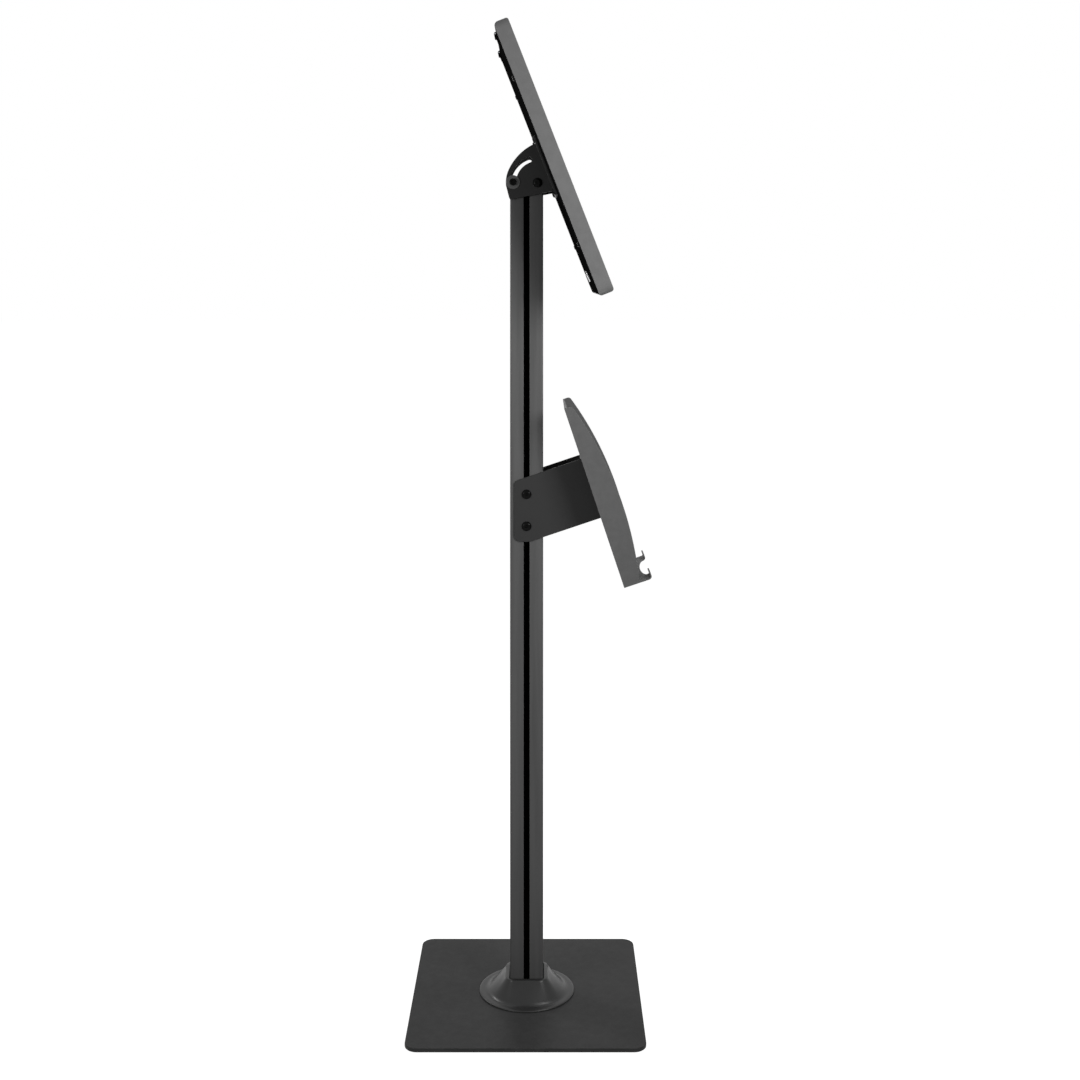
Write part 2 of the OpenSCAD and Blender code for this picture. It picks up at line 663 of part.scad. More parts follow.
// Bracket of the leaflet holder
module arm_outline() let (
    top = rack_point(-arm_t / 2, arm_high_v), low = rack_point(-arm_t / 2, arm_low_v),
    slope = tan(rack_lean), foot = low.y - slope * (low.x + arm_back) + arm_foot
) polygon(rounded([
    top, [-arm_back, top.y - slope * (top.x + arm_back)],
    [-arm_back, foot], [-arm_back + arm_foot / slope, foot], low
], [0, 7, 9, 25, 0]));
module rack_bracket() color(dark) difference() {
    union() {
        both() along_y(arm_in, arm_t) arm_outline();
        rack_frame() translate([-arm_t, -arm_out, arm_low_v])
            cube([arm_t, 2 * arm_out, arm_high_v - arm_low_v]);
    }
    for (j = sides) translate([0, 0, rack_z + j * rack_pitch / 2])
        rod_y(bolt_r + bolt_gap, -arm_out - 1, 2 * arm_out + 2);
    holder_screw_places() rod_x(small_r + bolt_gap, -arm_t - 1, arm_t + 2);
}
module rack_screws() color(black) both() for (j = sides)
    translate([0, arm_out, rack_z + j * rack_pitch / 2]) rotate([-90, 0, 0])
        button_screw(bolt_r, button_r, button_h, arm_out - half + slot_lip + slot_nut_t + 0.5, socket_r);
module slot_nuts() color(steel) both() for (j = sides)
    translate([0, half - slot_lip - 0.3, rack_z + j * rack_pitch / 2]) difference() {
        translate([3 - cavity_w / 2, -slot_nut_t, -9]) cube([cavity_w - 6, slot_nut_t, 18]);
        rod_y(bolt_r, -slot_nut_t - 1, slot_nut_t + 2);
    }

// Leaflet holder
module holder_screw_places() rack_frame()
    for (i = sides, v = [arm_low_v + 16, arm_high_v - 16]) translate([0, i * 13, v]) children();
module side_wall_outline() polygon(concat(
    [[0, 0], [wall_depth(0), 0]],
    [for (k = [1 : 24]) let (v = rack_l * k / 25) [wall_depth(v), v]],
    corner([wall_depth(rack_l * 0.96), rack_l * 0.96], [wall_depth(rack_l), rack_l], [0, rack_l], 5),
    [[0, rack_l]]
));
// Hooked section of the front lips
module lip_outline() let (root = lip_reach - 2 * lip_bend, tip = [lip_reach - 0.8, lip_h])
    polygon(rounded([
        [root, 0], [lip_reach, 0], tip, tip - [rack_t, 0], [lip_reach - rack_t, rack_t], [root, rack_t]
    ], [0, lip_bend, 0, 0, lip_bend - rack_t, 0]));
module leaflet_holder() color(charcoal) difference() {
    rack_frame() {
        difference() {
            translate([0, -rack_w / 2, 0]) cube([rack_t, rack_w, rack_l]);
            for (i = sides) translate([0, i * (rack_w / 2), rack_l])
                rotate([45, 0, 0]) cube([20, 7, 7], center = true);
        }
        both() along_y(rack_w / 2 - rack_t, rack_t) side_wall_outline();
        difference() {
            translate([0, -rack_w / 2, 0]) cube([shelf_d, rack_w, rack_t]);
            translate([shelf_d, 0, -1]) scale([scoop_d / scoop_half, 1, 1]) cylinder(r = scoop_half, h = 9);
        }
        both() along_y(scoop_half, lip_w) lip_outline();
    }
    holder_screw_places() {
        rod_x(small_r + bolt_gap, -1, rack_t + 2);
        translate([rack_t + eps, 0, 0]) rotate([0, -90, 0])
            cylinder(r1 = holder_head_r + bolt_gap, r2 = small_r + bolt_gap, h = holder_head_r - small_r);
    }
}
module holder_screws() color(black) holder_screw_places() translate([rack_t - sink, 0, 0])
    rotate([0, -90, 0])
        flush_screw(small_r, holder_head_r, rack_t - sink + arm_t + small_nut_t + 0.5, small_key_r);
module holder_nuts() color(steel) holder_screw_places() translate([-arm_t - small_nut_t, 0, 0])
    rotate([0, 90, 0]) hex_nut(small_nut_r, small_nut_t, small_r);

base_mat();
base_plate();
post_flange();
base_bolts();
foot_screws();
flange_cover();
post();
tilt_fork();
fork_screws();
pivot_bolts();
pivot_nuts();
friction_washers();
clamp_screws();
clamp_washers();
clamp_nuts();
tilt_bracket();
plate_screws();
back_plate();
corner_holders();
corner_screws();
foam_pads();
cable_grommet();
hinge_knuckles();
hinge_pins();
lock_barrel();
lock_nut();
front_cover();
cover_knuckles();
window_gasket();
lock_catch();
lock_plug();
lock_cam();
cam_screw();
rack_bracket();
rack_screws();
slot_nuts();
leaflet_holder();
holder_screws();
holder_nuts();
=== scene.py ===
import math

import bmesh
import bpy
from mathutils import Matrix, Vector


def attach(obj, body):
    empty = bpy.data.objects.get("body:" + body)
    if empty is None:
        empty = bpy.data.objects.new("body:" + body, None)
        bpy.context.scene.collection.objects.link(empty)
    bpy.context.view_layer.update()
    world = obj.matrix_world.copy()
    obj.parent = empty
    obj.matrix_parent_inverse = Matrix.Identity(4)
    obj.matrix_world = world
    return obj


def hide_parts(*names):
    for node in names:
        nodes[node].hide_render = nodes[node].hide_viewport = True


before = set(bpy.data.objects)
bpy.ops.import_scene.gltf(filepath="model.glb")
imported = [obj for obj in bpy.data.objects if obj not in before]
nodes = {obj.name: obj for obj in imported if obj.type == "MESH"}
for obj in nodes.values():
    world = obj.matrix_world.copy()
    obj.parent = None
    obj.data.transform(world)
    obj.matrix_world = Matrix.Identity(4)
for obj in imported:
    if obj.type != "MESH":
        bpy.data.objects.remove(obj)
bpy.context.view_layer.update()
print("frame loaded with", len(nodes), "nodes")

mm = 0.001
headPivot = Vector((14.8, 0, 1114.8)) * mm  # tilt axis, as in the part's source
headLean = math.radians(21.35)
rackCorner = Vector((130, 0, 575)) * mm  # lower back edge of the leaflet holder
rackLean = math.radians(18.55)


def leaningFrame(corner, lean):
    # local X is the front normal, local Z runs up the back
    return Matrix.Translation(corner) @ Matrix.Rotation(-lean, 4, "Y")


headFrame = leaningFrame(headPivot, headLean)
rackFrame = leaningFrame(rackCorner, rackLean)


photoCamera = {
    "place": (0.025, -2.019, 0.988),
    "lens": 48.89,
    "sensor": 36.0,
    "shift": (-0.0046, -0.2444),
}


def makeCamera(values):
    lens = bpy.data.cameras.new("photoCamera")
    lens.lens = values["lens"]
    lens.sensor_width = values["sensor"]
    lens.shift_x, lens.shift_y = values["shift"]
    holder = bpy.data.objects.new("photoCamera", lens)
    holder.location = values["place"]
    holder.rotation_euler = (math.radians(90), 0, 0)  # level, looking along +Y
    bpy.context.scene.collection.objects.link(holder)
    bpy.context.scene.camera = holder


makeCamera(photoCamera)
print("camera placed")


def newGroup(name, inputs, outputs):
    tree = bpy.data.node_groups.new(name, "ShaderNodeTree")
    for label, kind, value in inputs:
        socket = tree.interface.new_socket(label, in_out="INPUT", socket_type=kind)
        if value is not None:
            socket.default_value = value
    for label, kind in outputs:
        tree.interface.new_socket(label, in_out="OUTPUT", socket_type=kind)
    return tree, tree.nodes.new("NodeGroupInput"), tree.nodes.new("NodeGroupOutput")


def addMath(tree, operation, first, second=None):
    node = tree.nodes.new("ShaderNodeMath")
    node.operation = operation
    for index, value in enumerate((first, second)):
        if value is None:
            continue
        if isinstance(value, (int, float)):
            node.inputs[index].default_value = value
        else:
            tree.links.new(value, node.inputs[index])
    return node.outputs[0]


def addNoise(tree, vector, scale, detail=3.0, roughness=0.5):
    node = tree.nodes.new("ShaderNodeTexNoise")
    node.inputs["Detail"].default_value = detail
    node.inputs["Roughness"].default_value = roughness
    tree.links.new(vector, node.inputs["Vector"])
    if isinstance(scale, (int, float)):
        node.inputs["Scale"].default_value = scale
    else:
        tree.links.new(scale, node.inputs["Scale"])
    return node.outputs["Fac"]


def addRange(tree, value, low, high, toLow=0.0, toHigh=1.0):
    node = tree.nodes.new("ShaderNodeMapRange")
    tree.links.new(value, node.inputs["Value"])
    for label, number in zip(("From Min", "From Max", "To Min", "To Max"), (low, high, toLow, toHigh)):
        node.inputs[label].default_value = number
    return node.outputs["Result"]


def addMix(tree, factor, first, second, blend="MIX"):
    node = tree.nodes.new("ShaderNodeMix")
    node.data_type = "RGBA"
    node.blend_type = blend
    for index, value in ((0, factor), (6, first), (7, second)):
        if hasattr(value, "is_output"):
            tree.links.new(value, node.inputs[index])
        else:
            node.inputs[index].default_value = value
    return node.outputs[2]


maskValues = {
    "fineNoise": (2.0, 0.55), "slowNoise": (2.0, 0.4), "cloudNoise": (4.0, 0.6),  # detail, roughness
    "cloudRange": (0.3, 0.7), "edgeRange": (0.51, 0.58), "patchScale": 90.0,
    "patchRange": (0.35, 0.65), "upRange": (0.6, 1.0), "speckScale": 420.0, "speckNoise": (4.0, 0.7),
    "speckRange": (0.5, 0.75), "slotShadeRange": (0.0003, 0.0012),
}


def buildGrain(v):
    # fine orange-peel of a powder coat over a slower ripple
    tree, start, end = newGroup(
        "coatGrain",
        [("Vector", "NodeSocketVector", None), ("Grain", "NodeSocketFloat", 1500.0),
         ("Ripple", "NodeSocketFloat", 260.0), ("Ripple Share", "NodeSocketFloat", 0.4)],
        [("Height", "NodeSocketFloat")],
    )
    fine = addNoise(tree, start.outputs["Vector"], start.outputs["Grain"], *v["fineNoise"])
    slow = addNoise(tree, start.outputs["Vector"], start.outputs["Ripple"], *v["slowNoise"])
    share = addMath(tree, "MULTIPLY", slow, start.outputs["Ripple Share"])
    tree.links.new(addMath(tree, "ADD", fine, share), end.inputs["Height"])
    return tree


def buildDrift(v):
    # slow changes of shade and sheen, as a sprayed or moulded surface has
    tree, start, end = newGroup(
        "shadeDrift",
        [("Vector", "NodeSocketVector", None), ("Color", "NodeSocketColor", None),
         ("Amount", "NodeSocketFloat", 0.08), ("Roughness", "NodeSocketFloat", 0.5),
         ("Spread", "NodeSocketFloat", 0.06), ("Scale", "NodeSocketFloat", 14.0)],
        [("Color", "NodeSocketColor"), ("Roughness", "NodeSocketFloat")],
    )
    cloud = addNoise(tree, start.outputs["Vector"], start.outputs["Scale"], *v["cloudNoise"])
    swing = addRange(tree, cloud, *v["cloudRange"], -1.0, 1.0)
    level = addMath(tree, "ADD", 1.0, addMath(tree, "MULTIPLY", swing, start.outputs["Amount"]))
    scaled = tree.nodes.new("ShaderNodeVectorMath")
    scaled.operation = "SCALE"
    tree.links.new(start.outputs["Color"], scaled.inputs[0])
    tree.links.new(level, scaled.inputs["Scale"])
    tree.links.new(scaled.outputs[0], end.inputs["Color"])
    rough = addMath(tree, "MULTIPLY", swing, start.outputs["Spread"])
    tree.links.new(addMath(tree, "ADD", start.outputs["Roughness"], rough), end.inputs["Roughness"])
    return tree


def buildEdgeWearAndHighlight(v):
    # edges a little paler than the flats: partly edge wear, partly a painted highlight along the edges
    tree, start, end = newGroup(
        "edgeWearAndHighlight",
        [("Vector", "NodeSocketVector", None), ("Color", "NodeSocketColor", None),
         ("Rubbed", "NodeSocketColor", None), ("Amount", "NodeSocketFloat", 0.4)],
        [("Color", "NodeSocketColor")],
    )
    shape = tree.nodes.new("ShaderNodeNewGeometry")
    edge = addRange(tree, shape.outputs["Pointiness"], *v["edgeRange"])
    patches = addNoise(tree, start.outputs["Vector"], v["patchScale"])
    patchy = addRange(tree, patches, *v["patchRange"])
    mask = addMath(tree, "MULTIPLY", addMath(tree, "MULTIPLY", edge, patchy), start.outputs["Amount"])
    mixed = addMix(tree, mask, start.outputs["Color"], start.outputs["Rubbed"])
    tree.links.new(mixed, end.inputs["Color"])
    return tree


def buildDust(v):
    # a trace of dust on what faces up
    tree, start, end = newGroup(
        "settledDust",
        [("Vector", "NodeSocketVector", None), ("Color", "NodeSocketColor", None),
         ("Dust", "NodeSocketColor", None), ("Amount", "NodeSocketFloat", 0.05)],
        [("Color", "NodeSocketColor")],
    )
    shape = tree.nodes.new("ShaderNodeNewGeometry")
    parts = tree.nodes.new("ShaderNodeSeparateXYZ")
    tree.links.new(shape.outputs["Normal"], parts.inputs[0])
    upward = addRange(tree, parts.outputs["Z"], *v["upRange"])
    grit = addNoise(tree, start.outputs["Vector"], v["speckScale"], *v["speckNoise"])
    specks = addRange(tree, grit, *v["speckRange"])
    mask = addMath(tree, "MULTIPLY", addMath(tree, "MULTIPLY", upward, specks), start.outputs["Amount"])
    tree.links.new(addMix(tree, mask, start.outputs["Color"], start.outputs["Dust"]), end.inputs["Color"])
    return tree


def buildSlotGrime(v):
    # painted shade: below the outer faces of the profile, in the slots, the colour is darkened and the
    # shine lowered, standing in for the shade there
    tree, start, end = newGroup(
        "slotGrime",
        [("Vector", "NodeSocketVector", None), ("Color", "NodeSocketColor", None),
         ("Grime", "NodeSocketColor", None), ("Shine", "NodeSocketFloat", 0.5),
         ("Half", "NodeSocketFloat", 0.0225)],
        [("Color", "NodeSocketColor"), ("Shine", "NodeSocketFloat")],
    )
    parts = tree.nodes.new("ShaderNodeSeparateXYZ")
    tree.links.new(start.outputs["Vector"], parts.inputs[0])
    across = addMath(tree, "MAXIMUM", addMath(tree, "ABSOLUTE", parts.outputs["X"]),
                     addMath(tree, "ABSOLUTE", parts.outputs["Y"]))
    depth = addMath(tree, "SUBTRACT", start.outputs["Half"], across)
    mask = addRange(tree, depth, *v["slotShadeRange"])
    dull = addMath(tree, "MULTIPLY", addMath(tree, "SUBTRACT", 1.0, mask), start.outputs["Shine"])
    tree.links.new(dull, end.inputs["Shine"])
    tree.links.new(addMix(tree, mask, start.outputs["Color"], start.outputs["Grime"]), end.inputs["Color"])
    return tree


coatGrain = buildGrain(maskValues)
shadeDrift = buildDrift(maskValues)
edgeWearAndHighlight = buildEdgeWearAndHighlight(maskValues)
settledDust = buildDust(maskValues)
slotGrime = buildSlotGrime(maskValues)
print("shader groups built")


def placeGroup(tree, group, **values):
    node = tree.nodes.new("ShaderNodeGroup")
    node.node_tree = group
    for label, value in values.items():
        socket = node.inputs[label.replace("_", " ")]
        if hasattr(value, "is_output"):
            tree.links.new(value, socket)
        else:
            socket.default_value = value
    return node


dustColor = (0.32, 0.31, 0.30, 1)


def finishMaterial(name, look):
    material = bpy.data.materials.new(name)
    material.use_nodes = True
    tree = material.node_tree
    shader = tree.nodes["Principled BSDF"]
    spot = tree.nodes.new("ShaderNodeTexCoord").outputs["Object"]
    turned = tree.nodes.new("ShaderNodeMapping")
    turned.inputs["Scale"].default_value = look.get("stretch", (1, 1, 1))
    tree.links.new(spot, turned.inputs["Vector"])
    spot = turned.outputs["Vector"]
    drift = placeGroup(
        tree, shadeDrift, Vector=spot, Color=(*look["color"], 1), Amount=look["amount"],
        Roughness=look["roughness"], Spread=look["spread"], Scale=look["cloud"],
    )
    # paler edges: partly edge wear, partly a painted edge highlight
    edgePale = placeGroup(
        tree, edgeWearAndHighlight, Vector=spot, Color=drift.outputs["Color"],
        Rubbed=(*look["edgePale"], 1), Amount=look["edgePaleAmount"],
    )
    dusted = placeGroup(
        tree, settledDust, Vector=spot, Color=edgePale.outputs["Color"],
        Dust=dustColor, Amount=look["dust"],
    )
    grain = placeGroup(
        tree, coatGrain, Vector=spot, Grain=look["grain"], Ripple=look["ripple"],
        Ripple_Share=look["share"],
    )
    bump = tree.nodes.new("ShaderNodeBump")
    bump.inputs["Strength"].default_value = look["bump"]
    bump.inputs["Distance"].default_value = look["depth"]
    tree.links.new(grain.outputs["Height"], bump.inputs["Height"])
    coated = dusted.outputs["Color"]
    # painted shade: the post's slot interiors are darkened and their shine lowered as if in shadow
    if "slotShade" in look:
        darkenedSlot = placeGroup(
            tree, slotGrime, Vector=spot, Color=coated, Grime=(*look["slotShade"], 1),
            Shine=look["specular"],
        )
        coated = darkenedSlot.outputs["Color"]
        tree.links.new(darkenedSlot.outputs["Shine"], shader.inputs["Specular IOR Level"])
    tree.links.new(coated, shader.inputs["Base Color"])
    tree.links.new(drift.outputs["Roughness"], shader.inputs["Roughness"])
    tree.links.new(bump.outputs["Normal"], shader.inputs["Normal"])
    shader.inputs["Metallic"].default_value = look.get("metallic", 0.0)
    shader.inputs["Specular IOR Level"].default_value = look.get("specular", 0.5)
    return material


def grey(level):
    return (level, level, level)


# the edge paleness in every coat is partly wear and partly a painted edge highlight
powder = {
    "amount": 0.03, "spread": 0.04, "cloud": 9.0, "edgePaleAmount": 0.35, "dust": 0.03,
    "grain": 1500.0, "ripple": 260.0, "share": 0.5, "bump": 0.25, "depth": 0.00008,
}
finishLooks = {
    "shell_coat": {**powder, "color": grey(0.116), "edgePale": grey(0.22), "roughness": 0.58,
                   "specular": 0.2},
    # the post's look carries a painted shade colour for its slot interiors
    "post_coat": {**powder, "color": grey(0.078), "edgePale": grey(0.13), "roughness": 0.42,
                  "stretch": (1, 1, 0.04), "grain": 1100.0, "bump": 0.14, "specular": 0.12,
                  "slotShade": grey(0.003)},
    "fork_coat": {**powder, "color": grey(0.075), "edgePale": grey(0.13), "roughness": 0.45,
                  "specular": 0.15},
    "washer_coat": {**powder, "color": grey(0.105), "edgePale": grey(0.2), "roughness": 0.38,
                    "grain": 2600.0, "bump": 0.1, "specular": 0.3},
    "plate_coat": {**powder, "color": grey(0.036), "edgePale": grey(0.09), "roughness": 0.42,
                   "share": 1.2, "specular": 0.05},
    "back_coat": {**powder, "color": grey(0.007), "edgePale": grey(0.02), "roughness": 0.65,
                  "bump": 0.08, "specular": 0.0},
    "bracket_coat": {**powder, "color": grey(0.024), "edgePale": grey(0.05), "roughness": 0.42,
                     "specular": 0.13},
    "arm_coat": {**powder, "color": grey(0.029), "edgePale": grey(0.05), "roughness": 0.4,
                 "amount": 0.015, "spread": 0.01, "edgePaleAmount": 0.1, "specular": 0.14},
    "rack_coat": {**powder, "color": grey(0.087), "edgePale": grey(0.16), "roughness": 0.55,
                  "specular": 0.2},
    "skirt_plastic": {**powder, "color": grey(0.022), "edgePale": grey(0.05), "roughness": 0.3,
                      "grain": 2400.0, "bump": 0.08, "specular": 0.24},
    "holder_plastic": {**powder, "color": grey(0.016), "edgePale": grey(0.04), "roughness": 0.48,
                       "grain": 2200.0, "specular": 0.25},
    "nylon": {**powder, "color": grey(0.012), "edgePale": grey(0.03), "roughness": 0.44,
              "grain": 2600.0, "bump": 0.12, "specular": 0.25},
    "mat_rubber": {**powder, "color": grey(0.008), "edgePale": grey(0.02), "roughness": 0.82,
                   "grain": 700.0, "bump": 0.5, "depth": 0.0002, "specular": 0.15},
    "black_screw": {**powder, "color": grey(0.003), "edgePale": grey(0.02), "roughness": 0.1,
                    "spread": 0.03, "edgePaleAmount": 0.4, "grain": 3000.0, "bump": 0.05, "specular": 0.05},
    "zinc": {**powder, "color": (0.52, 0.54, 0.56), "edgePale": grey(0.7), "roughness": 0.34,
             "spread": 0.12, "cloud": 160.0, "metallic": 1.0, "bump": 0.1},
    "lock_chrome": {**powder, "color": (0.62, 0.62, 0.63), "edgePale": grey(0.75), "roughness": 0.13,
                    "spread": 0.04, "metallic": 1.0, "bump": 0.03, "dust": 0.02},
}
finishes = {name: finishMaterial(name, look) for name, look in finishLooks.items()}


foamLook = {
    "color": (0.013, 0.013, 0.014), "pore": 650.0, "depth": 0.0004, "wallRange": (0.15, 0.6),
    "darkShare": 0.45, "cloud": 60.0, "cloudRange": (0.3, 0.7), "roughRange": (0.86, 0.96),
    "bump": 0.7, "specular": 0.15,
}


def foamMaterial(look):
    material = bpy.data.materials.new("foam")
    material.use_nodes = True
    tree = material.node_tree
    shader = tree.nodes["Principled BSDF"]
    spot = tree.nodes.new("ShaderNodeTexCoord").outputs["Object"]
    pores = tree.nodes.new("ShaderNodeTexVoronoi")
    pores.inputs["Scale"].default_value = look["pore"]
    tree.links.new(spot, pores.inputs["Vector"])
    # painted shade: the pore hollows are darker than the cell walls
    wall = addRange(tree, pores.outputs["Distance"], *look["wallRange"])
    dark = (*[c * look["darkShare"] for c in look["color"]], 1)
    tree.links.new(addMix(tree, wall, dark, (*look["color"], 1)), shader.inputs["Base Color"])
    cloud = addNoise(tree, spot, look["cloud"])
    rough = addRange(tree, cloud, *look["cloudRange"], *look["roughRange"])
    tree.links.new(rough, shader.inputs["Roughness"])
    bump = tree.nodes.new("ShaderNodeBump")
    bump.inputs["Strength"].default_value = look["bump"]
    bump.inputs["Distance"].default_value = look["depth"]
    tree.links.new(wall, bump.inputs["Height"])
    tree.links.new(bump.outputs["Normal"], shader.inputs["Normal"])
    shader.inputs["Specular IOR Level"].default_value = look["specular"]
    return material


finishes["foam"] = foamMaterial(foamLook)
print("finishes made:", len(finishes))


def newObject(name, mesh):
    piece = bpy.data.objects.new(name, mesh)
    bpy.context.scene.collection.objects.link(piece)
    return piece


def plainMesh(piece):
    # the modifiers' result becomes the piece's own mesh
    graph = bpy.context.evaluated_depsgraph_get()
    result = bpy.data.meshes.new_from_object(piece.evaluated_get(graph), depsgraph=graph)
    piece.modifiers.clear()
    piece.data = result
    return piece


def smoothFaces(mesh, angle=35):
    mesh.shade_smooth()
    mesh.set_sharp_from_angle(angle=math.radians(angle))


def settle(piece, body, slotName, *replaced):
    piece.data.materials.clear()
    piece.data.materials.append(finishes[slotName])
    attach(piece, body)
    if replaced:
        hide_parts(*replaced)
    return piece


weldDistance = 2e-6


def weldedShape(nodeName):
    shape = bmesh.new()
    shape.from_mesh(nodes[nodeName].data)
    bmesh.ops.remove_doubles(shape, verts=shape.verts, dist=weldDistance)
    return shape


def hasRoom(edge, width):
    # a rounding needs a face at least as wide as itself on both sides of its edge
    for loop in edge.link_loops:
        start = loop.vert.co
        inward = loop.face.normal.cross(loop.link_loop_next.vert.co - start).normalized()
        if max((corner.co - start).dot(inward) for corner in loop.face.verts) < width:
            return False
    return True


softValues = {"segments": 3, "flatAngle": 0.6, "sharpAngle": 40, "smoothAngle": 32}


def softened(name, nodeName, body, slotName, width):
    # the solid's own form with its sheet edges and bends rounded
    v = softValues
    shape = weldedShape(nodeName)
    bmesh.ops.dissolve_limit(
        shape, angle_limit=math.radians(v["flatAngle"]), verts=shape.verts, edges=shape.edges,
    )
    shape.normal_update()
    weight = shape.edges.layers.float.new("bevel_weight_edge")
    for edge in shape.edges:
        sharp = len(edge.link_faces) == 2 and edge.calc_face_angle() > math.radians(v["sharpAngle"])
        edge[weight] = 1.0 if sharp and hasRoom(edge, width) else 0.0
    mesh = bpy.data.meshes.new(name)
    shape.to_mesh(mesh)
    shape.free()
    piece = newObject(name, mesh)
    bevel = piece.modifiers.new("bend", "BEVEL")
    bevel.width = width
    bevel.segments = v["segments"]
    bevel.limit_method = "WEIGHT"
    bevel.use_clamp_overlap = False
    plainMesh(piece)
    smoothFaces(piece.data, v["smoothAngle"])
    weights = piece.modifiers.new("weights", "WEIGHTED_NORMAL")
    weights.keep_sharp = True
    plainMesh(piece)
    return settle(piece, body, slotName, nodeName)


def skinRings(shape, loops):
    for low, high in zip(loops, loops[1:]):
        for i in range(len(low)):
            j = (i + 1) % len(low)
            shape.faces.new((low[i], low[j], high[j], high[i]))


def loft(name, rings, closed=False):
    # rings of equal count, skinned in order; open ends are capped
    shape = bmesh.new()
    loops = [[shape.verts.new(point) for point in ring] for ring in rings]
    skinRings(shape, [*loops, loops[0]] if closed else loops)
    if not closed:
        shape.faces.new(list(reversed(loops[0])))
        shape.faces.new(loops[-1])
    bmesh.ops.recalc_face_normals(shape, faces=shape.faces)
    mesh = bpy.data.meshes.new(name)
    shape.to_mesh(mesh)
    shape.free()
    smoothFaces(mesh)
    return newObject(name, mesh)


def roundedOutline(halfWide, halfHigh, radius, perCorner=10):
    # points of a rounded rectangle, counter-clockwise
    points = []
    for turn, (sx, sy) in enumerate(((1, 1), (-1, 1), (-1, -1), (1, -1))):
        for k in range(perCorner + 1):
            a = math.radians(90 * turn + 90 * k / perCorner)
            points.append((
                sx * (halfWide - radius) + radius * math.cos(a),
                sy * (halfHigh - radius) + radius * math.sin(a),
            ))
    return points


headValues = {"around": 48, "chamferWide": 1.12, "chamferDeep": 0.12, "shankSides": 32,
              "faceBand": 0.01 * mm}


def headShape(name, profile, keyRatio, keyDepth):
    # a lathed head of radius 1 with a hex socket sunk in its top
    shape = bmesh.new()
    count = headValues["around"]

    def ring(radius, z, hexed=False):
        loop = []
        for i in range(count):
            a = 2 * math.pi * i / count
            reach = radius
            if hexed:
                side = (a % (math.pi / 3)) - math.pi / 6
                reach = radius * math.cos(math.pi / 6) / math.cos(side)
            loop.append(shape.verts.new((reach * math.cos(a), reach * math.sin(a), z)))
        return loop

    top = profile[-1][1]
    loops = [ring(r, z) for r, z in profile]
    loops.append(ring(keyRatio * headValues["chamferWide"], top, True))
    loops.append(ring(keyRatio, top - keyDepth * headValues["chamferDeep"], True))
    loops.append(ring(keyRatio, top - keyDepth, True))
    skinRings(shape, loops)
    shape.faces.new(list(reversed(loops[0])))
    shape.faces.new(loops[-1])
    mesh = bpy.data.meshes.new(name)
    shape.to_mesh(mesh)
    shape.free()
    smoothFaces(mesh)
    return newObject(name, mesh)


def newGeometryTree(name, inputs):
    tree = bpy.data.node_groups.new(name, "GeometryNodeTree")
    tree.interface.new_socket("Geometry", in_out="INPUT", socket_type="NodeSocketGeometry")
    for label, kind in inputs:
        tree.interface.new_socket(label, in_out="INPUT", socket_type=kind)
    tree.interface.new_socket("Geometry", in_out="OUTPUT", socket_type="NodeSocketGeometry")
    start = tree.nodes.new("NodeGroupInput").outputs
    end = tree.nodes.new("NodeGroupOutput").inputs
    return tree, start, end


def finishTree(tree, result, start, end):
    # real geometry in its finish goes out
    make, link = tree.nodes.new, tree.links.new
    real = make("GeometryNodeRealizeInstances")
    link(result, real.inputs[0])
    coated = make("GeometryNodeSetMaterial")
    link(real.outputs[0], coated.inputs["Geometry"])
    link(start["Finish"], coated.inputs["Material"])
    link(coated.outputs[0], end["Geometry"])
    return tree


